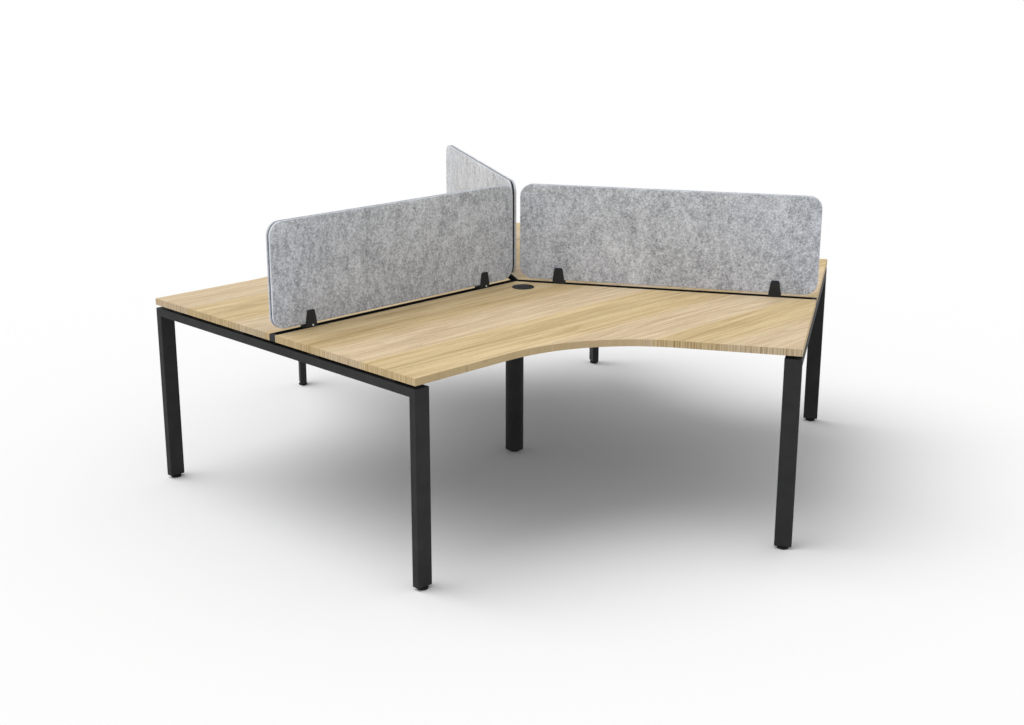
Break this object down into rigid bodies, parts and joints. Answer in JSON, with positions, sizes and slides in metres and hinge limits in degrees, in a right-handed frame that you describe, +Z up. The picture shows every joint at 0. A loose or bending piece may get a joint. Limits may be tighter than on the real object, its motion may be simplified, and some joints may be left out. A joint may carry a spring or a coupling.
{
  "type": "workstation desk",
  "caption": "Y-shaped shared workstation desk: wood worktops with curved seat bays round a hub, black steel end frames and post, and clamped grey felt screens.",
  "frame": {"origin": "on the floor, at the middle of the centre foot, under the hub where the three slots meet", "axes": "+Z up; -Y along the middle of the front worktop, towards whoever sits there; +X to the right seen from there; one screen runs along +Y"},
  "size_m": [2.8284, 2.4495, 1.125],
  "materials": {
    "worktop_wood": "light oak grain, satin",
    "edge_wood": "light oak grain, satin, on the edges",
    "frame_black": "black powder coat, fine texture",
    "channel_black": "matte black",
    "cap_black": "matte black",
    "clamp_black": "satin black",
    "felt_grey": "mottled grey felt",
    "core_dark": "dark grey, matte",
    "grommet_black": "matte black",
    "foot_black": "matte black",
    "plug_black": "matte black",
    "screw_steel": "bright zinc"
  },
  "bodies": {
    "desk": {"base_screws": "screw_steel", "beam_angles": "frame_black", "beam_back": "frame_black", "beam_left": "frame_black", "beam_right": "frame_black", "bracket_screws": "screw_steel", "centre_insert": "plug_black", "centre_leg": "frame_black", "channel_end_caps": "cap_black", "clamp_bases": "clamp_black", "clamp_jaws_back": "clamp_black", "clamp_jaws_left": "clamp_black", "clamp_jaws_right": "clamp_black", "clamp_screws": "screw_steel", "cross_battens": "frame_black", "edge_band_front": "edge_wood", "edge_band_left": "edge_wood", "edge_band_right": "edge_wood", "end_rail_back": "frame_black", "end_rail_left": "frame_black", "end_rail_right": "frame_black", "grommet_ring_front": "grommet_black", "grommet_ring_left": "grommet_black", "grommet_ring_right": "grommet_black", "hub_bolts": "screw_steel", "hub_plate": "frame_black", "leg_back_left": "frame_black", "leg_back_right": "frame_black", "leg_inserts": "plug_black", "leg_left_front": "frame_black", "leg_left_rear": "frame_black", "leg_right_front": "frame_black", "leg_right_rear": "frame_black", "rail_spacers": "plug_black", "screen_back_core": "core_dark", "screen_back_face_a": "felt_grey", "screen_back_face_b": "felt_grey", "screen_left_core": "core_dark", "screen_left_face_a": "felt_grey", "screen_left_face_b": "felt_grey", "screen_right_core": "core_dark", "screen_right_face_a": "felt_grey", "screen_right_face_b": "felt_grey", "slot_channel_back": "channel_black", "slot_channel_left": "channel_black", "slot_channel_right": "channel_black", "worktop_front": "worktop_wood", "worktop_left": "worktop_wood", "worktop_right": "worktop_wood", "worktop_screws": "screw_steel"},
    "foot_centre": {"foot_centre": "foot_black"},
    "foot_left_front": {"foot_left_front": "foot_black"},
    "foot_left_rear": {"foot_left_rear": "foot_black"},
    "foot_right_rear": {"foot_right_rear": "foot_black"},
    "foot_right_front": {"foot_right_front": "foot_black"},
    "foot_back_left": {"foot_back_left": "foot_black"},
    "foot_back_right": {"foot_back_right": "foot_black"},
    "lid_front": {"grommet_lid_front": "grommet_black"},
    "lid_right": {"grommet_lid_right": "grommet_black"},
    "lid_left": {"grommet_lid_left": "grommet_black"}
  },
  "joints": [
    {"name": "foot_centre_screw_out", "type": "slide", "parent": "desk", "child": "foot_centre", "axis": [0, 0, -1], "range_m": [-0.001, 0.01]},
    {"name": "foot_left_front_screw_out", "type": "slide", "parent": "desk", "child": "foot_left_front", "axis": [0, 0, -1], "range_m": [-0.001, 0.01]},
    {"name": "foot_left_rear_screw_out", "type": "slide", "parent": "desk", "child": "foot_left_rear", "axis": [0, 0, -1], "range_m": [-0.001, 0.01]},
    {"name": "foot_right_rear_screw_out", "type": "slide", "parent": "desk", "child": "foot_right_rear", "axis": [0, 0, -1], "range_m": [-0.001, 0.01]},
    {"name": "foot_right_front_screw_out", "type": "slide", "parent": "desk", "child": "foot_right_front", "axis": [0, 0, -1], "range_m": [-0.001, 0.01]},
    {"name": "foot_back_left_screw_out", "type": "slide", "parent": "desk", "child": "foot_back_left", "axis": [0, 0, -1], "range_m": [-0.001, 0.01]},
    {"name": "foot_back_right_screw_out", "type": "slide", "parent": "desk", "child": "foot_back_right", "axis": [0, 0, -1], "range_m": [-0.001, 0.01]},
    {"name": "lid_front_turn", "type": "hinge", "parent": "desk", "child": "lid_front", "pos_m": [0, -0.126, 0.729], "axis": [0, 0, 1], "continuous": true},
    {"name": "lid_right_turn", "type": "hinge", "parent": "desk", "child": "lid_right", "pos_m": [0.10912, 0.063, 0.729], "axis": [0, 0, 1], "continuous": true},
    {"name": "lid_left_turn", "type": "hinge", "parent": "desk", "child": "lid_left", "pos_m": [-0.10912, 0.063, 0.729], "axis": [0, 0, 1], "continuous": true}
  ]
}
